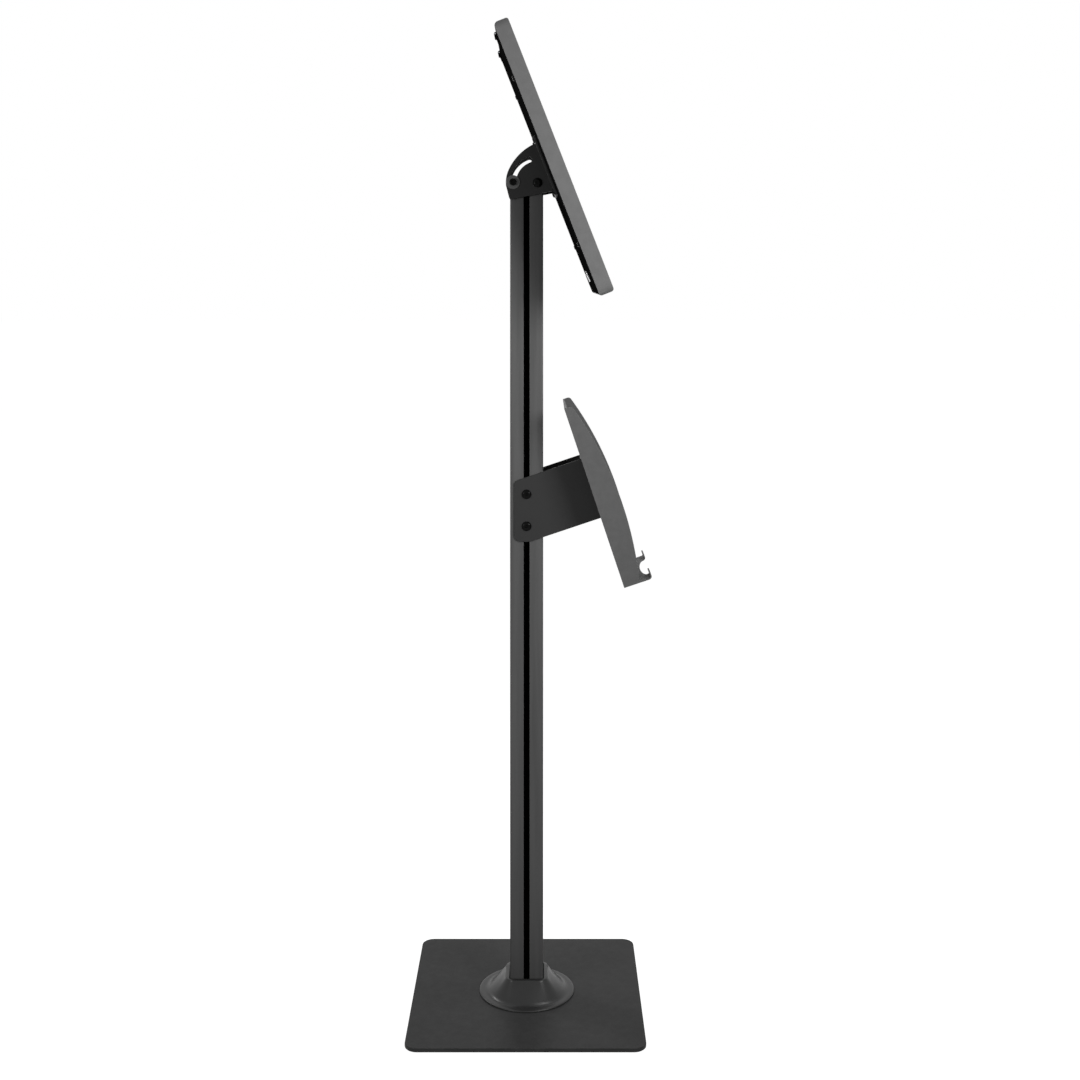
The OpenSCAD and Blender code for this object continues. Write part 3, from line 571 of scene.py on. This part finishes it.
def buildScrewTree():
    tree, start, end = newGeometryTree(
        "screwsOnPlaces",
        [("Head", "NodeSocketObject"), ("Head Radius", "NodeSocketFloat"),
         ("Head Height", "NodeSocketFloat"), ("Shank Radius", "NodeSocketFloat"),
         ("Shank Length", "NodeSocketFloat"), ("Turn Seed", "NodeSocketInt"),
         ("Finish", "NodeSocketMaterial")],
    )
    make, link = tree.nodes.new, tree.links.new
    head = make("GeometryNodeObjectInfo")
    link(start["Head"], head.inputs["Object"])
    size = make("ShaderNodeCombineXYZ")
    link(start["Head Radius"], size.inputs["X"])
    link(start["Head Radius"], size.inputs["Y"])
    link(start["Head Height"], size.inputs["Z"])
    sized = make("GeometryNodeTransform")
    link(head.outputs["Geometry"], sized.inputs["Geometry"])
    link(size.outputs[0], sized.inputs["Scale"])
    shank = make("GeometryNodeMeshCylinder")
    shank.inputs["Vertices"].default_value = headValues["shankSides"]
    link(start["Shank Radius"], shank.inputs["Radius"])
    link(start["Shank Length"], shank.inputs["Depth"])
    drop = make("ShaderNodeCombineXYZ")
    link(addMath(tree, "MULTIPLY", start["Shank Length"], -0.5), drop.inputs["Z"])
    lowered = make("GeometryNodeTransform")
    link(shank.outputs["Mesh"], lowered.inputs["Geometry"])
    link(drop.outputs[0], lowered.inputs["Translation"])
    screw = make("GeometryNodeJoinGeometry")
    link(sized.outputs[0], screw.inputs[0])
    link(lowered.outputs[0], screw.inputs[0])
    spin = make("FunctionNodeRandomValue")  # sockets stop at chance angles
    spin.data_type = "FLOAT"
    floats = [s for s in spin.inputs if s.type == "VALUE"]
    floats[0].default_value = 0.0
    floats[1].default_value = math.pi / 3
    link(start["Turn Seed"], spin.inputs["Seed"])
    angles = make("ShaderNodeCombineXYZ")
    link([s for s in spin.outputs if s.type == "VALUE" and s.enabled][0], angles.inputs["Z"])
    turned = make("FunctionNodeEulerToRotation")
    link(angles.outputs[0], turned.inputs[0])
    aim = make("GeometryNodeInputNamedAttribute")
    aim.data_type = "FLOAT_VECTOR"
    aim.inputs["Name"].default_value = "aim"
    aligned = make("FunctionNodeAlignRotationToVector")
    aligned.axis = "Z"
    link(turned.outputs[0], aligned.inputs["Rotation"])
    link(aim.outputs["Attribute"], aligned.inputs["Vector"])
    placed = make("GeometryNodeInstanceOnPoints")
    link(start["Geometry"], placed.inputs["Points"])
    link(screw.outputs[0], placed.inputs["Instance"])
    link(aligned.outputs[0], placed.inputs["Rotation"])
    return finishTree(tree, placed.outputs[0], start, end)


def islandsOf(nodeName):
    # the separate solids of a node, each as its list of points
    shape = weldedShape(nodeName)
    seen, groups = set(), []
    for vert in shape.verts:
        if vert in seen:
            continue
        stack, group = [vert], []
        seen.add(vert)
        while stack:
            current = stack.pop()
            group.append(current.co.copy())
            for edge in current.link_edges:
                other = edge.other_vert(current)
                if other not in seen:
                    seen.add(other)
                    stack.append(other)
        groups.append(group)
    shape.free()
    return groups


def setInputs(modifier, values):
    sockets = {s.name: s.identifier for s in modifier.node_group.interface.items_tree
               if s.item_type == "SOCKET" and s.in_out == "INPUT"}
    for label, value in values.items():
        modifier[sockets[label]] = value


buttonHead = headShape(
    "buttonHead",
    [(0.96, 0.0), (1.0, 0.06), (1.0, 0.22), (0.97, 0.42), (0.88, 0.66), (0.76, 0.85),
     (0.62, 0.96), (0.52, 1.0)],
    keyRatio=0.34, keyDepth=0.55,
)
socketHead = headShape(
    "socketHead",
    [(0.98, 0.0), (1.0, 0.03), (1.0, 0.86), (0.97, 0.94), (0.90, 0.985), (0.80, 1.0)],
    keyRatio=0.53, keyDepth=0.5,
)
flushHead = headShape(
    "flushHead", [(0.56, -1.0), (0.99, -0.04), (0.97, 0.0)], keyRatio=0.36, keyDepth=0.9,
)
screwTree = buildScrewTree()
headDirection = headFrame.to_3x3() @ Vector((-1, 0, 0))
rackDirection = rackFrame.to_3x3() @ Vector((1, 0, 0))


def outward(centre):
    # towards the side of the stand that the screw is on
    return Vector((0, 1 if centre.y > 0 else -1, 0))


screwSets = {
    "pivotScrews": {"node": "pivot_bolts", "body": "stand", "head": buttonHead, "radius": 6.5,
                    "height": 3.4, "shank": 4.0, "aim": outward, "seed": 3},
    "clampScrews": {"node": "clamp_screws", "body": "stand", "head": socketHead, "radius": 4.75,
                    "height": 5.0, "shank": 3.0, "aim": outward, "seed": 5},
    "plateScrews": {"node": "plate_screws", "body": "tilt_head", "head": buttonHead, "radius": 4.0,
                    "height": 2.2, "shank": 2.0, "aim": lambda c: headDirection, "seed": 7},
    "cornerScrews": {"node": "corner_screws", "body": "tilt_head", "head": buttonHead,
                     "radius": 3.6, "height": 2.0, "shank": 2.0, "aim": lambda c: headDirection,
                     "seed": 11},
    "rackScrews": {"node": "rack_screws", "body": "leaflet_rack", "head": buttonHead,
                   "radius": 6.5, "height": 3.4, "shank": 3.0, "aim": outward, "seed": 13},
    "holderScrews": {"node": "holder_screws", "body": "leaflet_rack", "head": flushHead,
                     "radius": 3.6, "height": 1.6, "shank": 2.0, "aim": lambda c: rackDirection,
                     "seed": 17},
}


def makeScrews(name, values):
    mesh = bpy.data.meshes.new(name)
    points, aims, lengths = [], [], []
    isFlush = values["head"] is flushHead
    height = 0 if isFlush else values["height"] * mm
    for group in islandsOf(values["node"]):
        low = Vector([min(p[k] for p in group) for k in range(3)])
        high = Vector([max(p[k] for p in group) for k in range(3)])
        middle = (low + high) / 2
        aim = values["aim"](middle)
        along = [p.dot(aim) for p in group]
        tip = max(along)
        # the screw is round, so points on its top face give its axis
        face = [p for p, a in zip(group, along) if tip - a < headValues["faceBand"]]
        axis = sum(face, Vector()) / len(face)
        points.append(axis - aim * (axis.dot(aim) - tip + height))
        aims.append(aim)
        lengths.append(tip - min(along) - height)
    mesh.from_pydata(points, [], [])
    attribute = mesh.attributes.new("aim", "FLOAT_VECTOR", "POINT")
    for item, aim in zip(attribute.data, aims):
        item.vector = aim
    piece = newObject(name, mesh)
    modifier = piece.modifiers.new("screws", "NODES")
    modifier.node_group = screwTree
    setInputs(modifier, {
        "Head": values["head"], "Head Radius": values["radius"] * mm,
        "Head Height": values["height"] * mm, "Shank Radius": values["shank"] * mm,
        "Shank Length": lengths[0], "Turn Seed": values["seed"],
        "Finish": finishes["black_screw"],
    })
    plainMesh(piece)
    smoothFaces(piece.data)
    return settle(piece, values["body"], "black_screw", values["node"])


for setName, setValues in screwSets.items():
    makeScrews(setName, setValues)
for unitHead in (buttonHead, socketHead, flushHead):
    bpy.data.objects.remove(unitHead)
print("screws placed:", len(screwSets), "sets")


postValues = {
    "half": 22.5, "slot": 8.0, "lip": 3.5, "cavityWide": 19.0, "cavityDeep": 7.0, "web": 2.5,
    "cable": 16.0, "channelOff": 15.0, "channelRadius": 2.75, "foot": 11.0, "length": 1091.0,
    "corner": 2.0, "filletSteps": 5, "chamberOver": 0.5, "channelSides": 24, "weld": 1e-6,
    "mouthRound": 0.5, "lipRound": 0.3, "cavityRound": 0.4, "floorRound": 0.6, "wayRound": 2,
    "chamberRound": 0.5, "smoothAngle": 25,
}


def postLoops(v):
    # outlines of the section: points with the fillet that each corner takes
    half, mouth, side = v["half"], v["slot"] / 2, v["cavityWide"] / 2
    under = half - v["lip"]
    middle = under - v["cavityDeep"] / 2
    floor = under - v["cavityDeep"]
    slotSide = [(mouth, half, v["mouthRound"]), (mouth, under, v["lipRound"]),
                (side, under, v["cavityRound"]), (side, middle, v["floorRound"]),
                (side / 2, floor, v["floorRound"])]
    upper = slotSide + [(-x, y, r) for x, y, r in reversed(slotSide)]
    outer = [(half, -half, v["corner"]), (half, half, v["corner"]), *upper,
             (-half, half, v["corner"]), (-half, -half, v["corner"])]
    outer += [(-x, -y, r) for x, y, r in upper]
    wayHalf, wayHigh = v["cable"] / 2, floor - v["web"]
    way = [(i * wayHalf, j * wayHigh, v["wayRound"]) for i, j in ((1, -1), (1, 1), (-1, 1), (-1, -1))]
    near, far = wayHalf + v["web"], under + v["chamberOver"]
    chambers = [[(s * x, y, v["chamberRound"]) for x, y in (
        (near, -wayHigh), (far, -wayHigh), (far, wayHigh), (near, wayHigh),
    )] for s in (-1, 1)]
    channels, sides = [], v["channelSides"]
    for i in (-1, 1):
        for j in (-1, 1):
            channels.append([(
                i * v["channelOff"] + v["channelRadius"] * math.cos(2 * math.pi * k / sides),
                j * v["channelOff"] + v["channelRadius"] * math.sin(2 * math.pi * k / sides), 0,
            ) for k in range(sides)])
    return [outer, way, *chambers, *channels]


def buildPostTree():
    tree, start, end = newGeometryTree(
        "slottedPost",
        [("Foot", "NodeSocketFloat"), ("Length", "NodeSocketFloat"),
         ("Fillet Steps", "NodeSocketInt"), ("Finish", "NodeSocketMaterial")],
    )
    make, link = tree.nodes.new, tree.links.new
    fillet = make("GeometryNodeFilletCurve")
    fillet.mode = "POLY"
    link(start["Geometry"], fillet.inputs["Curve"])
    link(start["Fillet Steps"], fillet.inputs["Count"])
    radius = make("GeometryNodeInputRadius")
    link(radius.outputs[0], fillet.inputs["Radius"])
    filled = make("GeometryNodeFillCurve")
    filled.mode = "TRIANGLES"
    link(fillet.outputs[0], filled.inputs["Curve"])
    rise = make("ShaderNodeCombineXYZ")
    link(start["Foot"], rise.inputs["Z"])
    raised = make("GeometryNodeTransform")
    link(filled.outputs[0], raised.inputs["Geometry"])
    link(rise.outputs[0], raised.inputs["Translation"])
    up = make("ShaderNodeCombineXYZ")
    link(start["Length"], up.inputs["Z"])
    drawn = make("GeometryNodeExtrudeMesh")
    drawn.inputs["Individual"].default_value = False
    link(raised.outputs[0], drawn.inputs["Mesh"])
    link(up.outputs[0], drawn.inputs["Offset"])
    under = make("GeometryNodeFlipFaces")
    link(raised.outputs[0], under.inputs[0])
    joined = make("GeometryNodeJoinGeometry")
    link(drawn.outputs["Mesh"], joined.inputs[0])
    link(under.outputs[0], joined.inputs[0])
    merged = make("GeometryNodeMergeByDistance")
    merged.inputs["Distance"].default_value = postValues["weld"]
    link(joined.outputs[0], merged.inputs["Geometry"])
    return finishTree(tree, merged.outputs[0], start, end)


def makePost(values):
    section = bpy.data.curves.new("postSection", "CURVE")
    section.dimensions = "2D"
    section.fill_mode = "NONE"
    for loop in postLoops(values):
        spline = section.splines.new("POLY")
        spline.points.add(len(loop) - 1)
        spline.use_cyclic_u = True
        for point, (x, y, r) in zip(spline.points, loop):
            point.co = (x * mm, y * mm, 0, 1)
            point.radius = r * mm
    source = newObject("postSection", section)
    modifier = source.modifiers.new("extrusion", "NODES")
    modifier.node_group = buildPostTree()
    setInputs(modifier, {
        "Foot": values["foot"] * mm, "Length": values["length"] * mm,
        "Fillet Steps": values["filletSteps"], "Finish": finishes["post_coat"],
    })
    graph = bpy.context.evaluated_depsgraph_get()
    mesh = bpy.data.meshes.new_from_object(source.evaluated_get(graph), depsgraph=graph)
    bpy.data.objects.remove(source)
    smoothFaces(mesh, values["smoothAngle"])
    return settle(newObject("slottedPost", mesh), "stand", "post_coat", "post")


makePost(postValues)
print("post extruded")


skirtValues = {
    "foot": 6.0, "rise": 26.0, "lipRadius": 65.0, "lipThick": 2.5, "bodyRadius": 58.0, "wall": 2.0,
    "collar": 28.5, "collarRound": 12.0, "opening": 23.3, "blend": 0.3, "steps": 16, "around": 128,
    "footRound": 0.4, "lipRound": 1.3, "lipProfile": [(0.3, 0.7), (0.9, 0.3), (2.0, 0.1)],
    "lipReach": 2.2, "topRound": 0.9, "topProfile": [(0.25, 0.3), (0.9, 0.0)],
    "openingCorner": 1.0, "openingRound": 0.4, "innerDrop": 0.4,
}


def squareToRound(half, corner, radius, share, angle):
    # distance from the axis at this angle: share 0 is the square, 1 the circle
    c, s = abs(math.cos(angle)), abs(math.sin(angle))
    reach = half / max(c, s)
    inner = half - corner
    if min(c, s) * reach > inner:
        dot = inner * (c + s)
        reach = dot + math.sqrt(max(dot * dot - 2 * inner * inner + corner * corner, 0))
    return reach * (1 - share) + radius * share


def makeSkirt(v):
    angles = [2 * math.pi * k / v["around"] for k in range(v["around"])]
    top = v["foot"] + v["rise"]
    lipTop = v["foot"] + v["lipThick"]
    half, corner, wall, blend = v["collar"], v["collarRound"], v["wall"], v["blend"]

    def ring(half, corner, radius, share, z):
        return [Vector((
            squareToRound(half, corner, radius, share, a) * math.cos(a),
            squareToRound(half, corner, radius, share, a) * math.sin(a), z,
        )) * mm for a in angles]

    def circle(radius, z):
        return ring(radius, 0, radius, 1, z)

    def rise(u):
        # straight flank that runs out softly into the lip
        eased = u * u / (2 * blend) if u < blend else u - blend / 2
        return eased / (1 - blend / 2)

    rim = v["lipRadius"]
    rings = [circle(rim - v["footRound"], v["foot"]), circle(rim, v["foot"] + v["footRound"]),
             circle(rim, lipTop - v["lipRound"])]
    rings += [circle(rim - inset, lipTop - drop) for inset, drop in v["lipProfile"]]
    rings.append(circle(v["bodyRadius"] + v["lipReach"], lipTop))
    for k in range(v["steps"] + 1):
        u = k / v["steps"]
        height = lipTop + (top - v["topRound"] - lipTop) * rise(u)
        rings.append(ring(half, corner, v["bodyRadius"], 1 - u, height))
    rings += [ring(half - inset, corner - inset, 0, 0, top - drop) for inset, drop in v["topProfile"]]
    mouth, tight, soft = v["opening"], v["openingCorner"], v["openingRound"]
    rings += [ring(mouth + soft, tight, 0, 0, top), ring(mouth, tight, 0, 0, top - soft),
              ring(mouth, tight, 0, 0, top - wall)]
    for k in range(v["steps"] + 1):
        t = k / v["steps"]
        height = lipTop - wall / 2 + (top - wall - lipTop + wall / 2) * (1 - t)
        rings.append(ring(half - wall, corner - wall, v["bodyRadius"] - wall, t, height - v["innerDrop"]))
    rings.append(circle(v["bodyRadius"] - wall, v["foot"]))
    return settle(loft("skirt", rings, closed=True), "stand", "skirt_plastic", "flange_cover")


makeSkirt(skirtValues)
print("flange cover lofted")


softPieces = {  # node, body, slot, rounding in mm
    "basePlate": ("base_plate", "stand", "plate_coat", 1.0),
    "antiSlipMat": ("base_mat", "stand", "mat_rubber", 0.2),
    "tiltFork": ("tilt_fork", "stand", "fork_coat", 0.4),
    "clampWashers": ("clamp_washers", "stand", "washer_coat", 0.25),
    "tiltBracket": ("tilt_bracket", "tilt_head", "bracket_coat", 0.45),
    "backPlate": ("back_plate", "tilt_head", "back_coat", 0.3),
    "cornerHolders": ("corner_holders", "tilt_head", "holder_plastic", 0.4),
    "hingeKnuckles": ("hinge_knuckles", "tilt_head", "back_coat", 0.2),
    "lockBarrel": ("lock_barrel", "tilt_head", "lock_chrome", 0.3),
    "frontCover": ("front_cover", "cover", "shell_coat", 0.35),
    "coverKnuckles": ("cover_knuckles", "cover", "back_coat", 0.2),
    "lockCatch": ("lock_catch", "cover", "bracket_coat", 0.3),
    "lockPlug": ("lock_plug", "lock", "lock_chrome", 0.15),
    "lockCam": ("lock_cam", "lock", "zinc", 0.2),
    "rackBracket": ("rack_bracket", "leaflet_rack", "arm_coat", 0.35),
    "leafletHolder": ("leaflet_holder", "leaflet_rack", "rack_coat", 0.25),
}
for pieceName, (nodeName, bodyName, slotName, rounding) in softPieces.items():
    softened(pieceName, nodeName, bodyName, slotName, rounding * mm)
# the barrels roll on the plate's face, so their coat stays clear of it
barrelClearance = 0.012 * mm
for corner in bpy.data.objects["coverKnuckles"].data.vertices:
    corner.co -= corner.normal * barrelClearance
print("sheet and moulded pieces rounded:", len(softPieces))


padValues = {"back": 21.0, "front": 27.0, "halfWide": 9.0, "halfHigh": 78.68, "corner": 4.0,
             "off": 53.75, "middle": 17.2, "leastRound": 0.8, "perCorner": 12, "smoothAngle": 60,
             "profile": [(0.0, 0.9), (0.03, 0.35), (0.12, 0.05), (0.35, 0.0), (0.72, 0.0),
                         (0.86, 0.25), (0.94, 0.8), (0.98, 1.7), (1.0, 3.2)]}
gasketValues = {"back": 33.8, "front": 38.1, "halfWide": 106.0, "halfHigh": 138.0, "corner": 14.0,
                "wide": 6.0, "middle": 17.2, "edgeRound": 1.2, "perEdge": 5, "perCorner": 14,
                "smoothAngle": 60}


def makePads(v):
    thick = v["front"] - v["back"]
    pads = []
    for side in (-1, 1):
        rings = []
        for share, inset in v["profile"]:
            outline = roundedOutline(
                v["halfWide"] - inset, v["halfHigh"] - inset,
                max(v["corner"] - inset, v["leastRound"]), v["perCorner"],
            )
            rings.append([headFrame @ (Vector((
                v["back"] + share * thick, y + side * v["off"], z + v["middle"],
            )) * mm) for y, z in outline])
        pads.append(loft("pad", rings))
    shape = bmesh.new()
    for pad in pads:
        shape.from_mesh(pad.data)
        bpy.data.objects.remove(pad)
    mesh = bpy.data.meshes.new("foamPads")
    shape.to_mesh(mesh)
    shape.free()
    smoothFaces(mesh, v["smoothAngle"])
    pads = settle(newObject("foamPads", mesh), "tilt_head", "foam", "foam_pads")
    return pads


def makeGasket(v):
    deep = v["front"] - v["back"]
    wide = v["wide"]
    section = roundedOutline(wide / 2, deep / 2, v["edgeRound"], v["perEdge"])
    rings = []
    for across, through in section:
        inset = wide / 2 - across
        outline = roundedOutline(
            v["halfWide"] - inset, v["halfHigh"] - inset, v["corner"] - inset, v["perCorner"],
        )
        rings.append([headFrame @ (Vector((
            v["back"] + deep / 2 + through, y, z + v["middle"],
        )) * mm) for y, z in outline])
    gasket = loft("windowGasket", rings, closed=True)
    smoothFaces(gasket.data, v["smoothAngle"])
    settle(gasket, "cover", "foam", "window_gasket")
    return gasket


makePads(padValues)
makeGasket(gasketValues)
print("foam laid")


grommetValues = {"back": 18.0, "front": 22.5, "waist": 8.5, "lip": 11.0, "hole": 6.0, "lipThick": 1.5,
                 "middle": 17.2, "around": 64, "holeDeep": 0.5, "holeWide": 0.6, "rimWide": 0.7,
                 "rimDeep": 0.35, "innerRound": 0.3}


def makeGrommet(v):
    back, front, lip, hole = v["back"], v["front"], v["lip"], v["hole"]
    soft, backLip, frontLip = v["innerRound"], v["back"] + v["lipThick"], v["front"] - v["lipThick"]
    section = [
        (back + v["holeDeep"], hole), (back, hole + v["holeWide"]), (back, lip - v["rimWide"]),
        (back + v["rimDeep"], lip), (backLip - soft, lip), (backLip, lip - soft),
        (backLip, v["waist"]), (frontLip, v["waist"]), (frontLip, lip - soft),
        (frontLip + soft, lip), (front - v["rimDeep"], lip), (front, lip - v["rimWide"]),
        (front, hole + v["holeWide"]), (front - v["holeDeep"], hole),
    ]
    turns = [2 * math.pi * k / v["around"] for k in range(v["around"])]
    rings = [[headFrame @ (Vector((
        n, r * math.cos(a), v["middle"] + r * math.sin(a),
    )) * mm) for a in turns] for n, r in section]
    return settle(loft("cableGrommet", rings, closed=True), "tilt_head", "nylon", "cable_grommet")


makeGrommet(grommetValues)
print("grommet turned")


plainNodes = {
    "post_flange": "plate_coat", "base_bolts": "black_screw", "foot_screws": "black_screw",
    "fork_screws": "black_screw", "pivot_nuts": "black_screw", "friction_washers": "nylon",
    "clamp_nuts": "black_screw", "hinge_pins": "zinc", "lock_nut": "zinc", "cam_screw": "zinc",
    "slot_nuts": "zinc", "holder_nuts": "zinc",
}


def dressNode(nodeName, slotName):
    solid = nodes[nodeName]
    if not solid.material_slots:
        solid.data.materials.append(finishes[slotName])
    for socket in solid.material_slots:
        socket.material = finishes[slotName]


for nodeName, slotName in plainNodes.items():
    dressNode(nodeName, slotName)
print("plain solids dressed:", len(plainNodes))


studioValues = {
    "floorHalf": 30.0, "floorPaint": 0.8, "floorGlow": 0.95, "floorShade": 0.35, "ambient": 0.16,
    "lamps": [  # name, place, target, width, height, power, spread
        ("keySoftbox", (0.95, -1.2, 1.28), (0.02, 0.0, 1.0), 0.6, 0.6, 5.8, 85),
        ("frontFill", (-1.0, -1.1, 1.05), (0.0, 0.0, 0.85), 0.4, 0.5, 2.6, 110),
        ("leftSoftbox", (-0.95, 0.66, 1.05), (0.0, 0.0, 0.2), 0.25, 0.3, 2.6, 130),
        ("overhead", (0.55, 0.05, 1.4), (0.0, 0.0, 0.0), 0.25, 0.25, 2.0, 130),
    ],
}


def whiteRays(tree):
    # camera, mirror and glass rays see the background, others the room's own light
    path = tree.nodes.new("ShaderNodeLightPath")
    seen = addMath(tree, "MAXIMUM", path.outputs["Is Camera Ray"], path.outputs["Is Glossy Ray"])
    return addMath(tree, "MAXIMUM", seen, path.outputs["Is Transmission Ray"])


def makeWorld(values):
    world = bpy.data.worlds.new("studio")
    world.use_nodes = True
    tree = world.node_tree
    tree.nodes.clear()
    seen = whiteRays(tree)
    glow = tree.nodes.new("ShaderNodeBackground")
    strength = addRange(tree, seen, 0.0, 1.0, values["ambient"], 1.0)
    tree.links.new(strength, glow.inputs["Strength"])
    glow.inputs["Color"].default_value = (1, 1, 1, 1)
    end = tree.nodes.new("ShaderNodeOutputWorld")
    tree.links.new(glow.outputs[0], end.inputs["Surface"])
    bpy.context.scene.world = world


def makeFloor(values):
    half = values["floorHalf"]
    mesh = bpy.data.meshes.new("studioFloor")
    mesh.from_pydata([(-half, -half, 0), (half, -half, 0), (half, half, 0), (-half, half, 0)], [],
                     [(0, 1, 2, 3)])
    floor = newObject("studioFloor", mesh)
    paint = bpy.data.materials.new("studioFloor")
    paint.use_nodes = True
    tree = paint.node_tree
    tree.nodes.clear()
    seen = whiteRays(tree)
    plain = tree.nodes.new("ShaderNodeBsdfDiffuse")
    plain.inputs["Color"].default_value = (*grey(values["floorPaint"]), 1)
    shown = tree.nodes.new("ShaderNodeBsdfDiffuse")
    shown.inputs["Color"].default_value = (*grey(values["floorShade"]), 1)
    glow = tree.nodes.new("ShaderNodeEmission")
    glow.inputs["Strength"].default_value = values["floorGlow"]
    both = tree.nodes.new("ShaderNodeAddShader")
    tree.links.new(shown.outputs[0], both.inputs[0])
    tree.links.new(glow.outputs[0], both.inputs[1])
    pick = tree.nodes.new("ShaderNodeMixShader")
    tree.links.new(seen, pick.inputs[0])
    tree.links.new(plain.outputs[0], pick.inputs[1])
    tree.links.new(both.outputs[0], pick.inputs[2])
    end = tree.nodes.new("ShaderNodeOutputMaterial")
    tree.links.new(pick.outputs[0], end.inputs["Surface"])
    mesh.materials.append(paint)


def makeLamp(name, place, target, wide, high, power, spread):
    lamp = bpy.data.lights.new(name, "AREA")
    lamp.shape = "RECTANGLE"
    lamp.size = wide
    lamp.size_y = high
    lamp.energy = power
    lamp.spread = math.radians(spread)
    holder = bpy.data.objects.new(name, lamp)
    holder.location = place
    aim = Vector(target) - Vector(place)
    holder.rotation_euler = aim.to_track_quat("-Z", "Y").to_euler()
    bpy.context.scene.collection.objects.link(holder)


makeWorld(studioValues)
makeFloor(studioValues)
for lampValues in studioValues["lamps"]:
    makeLamp(*lampValues)
bpy.context.scene.view_settings.view_transform = "Standard"
print("studio lit")
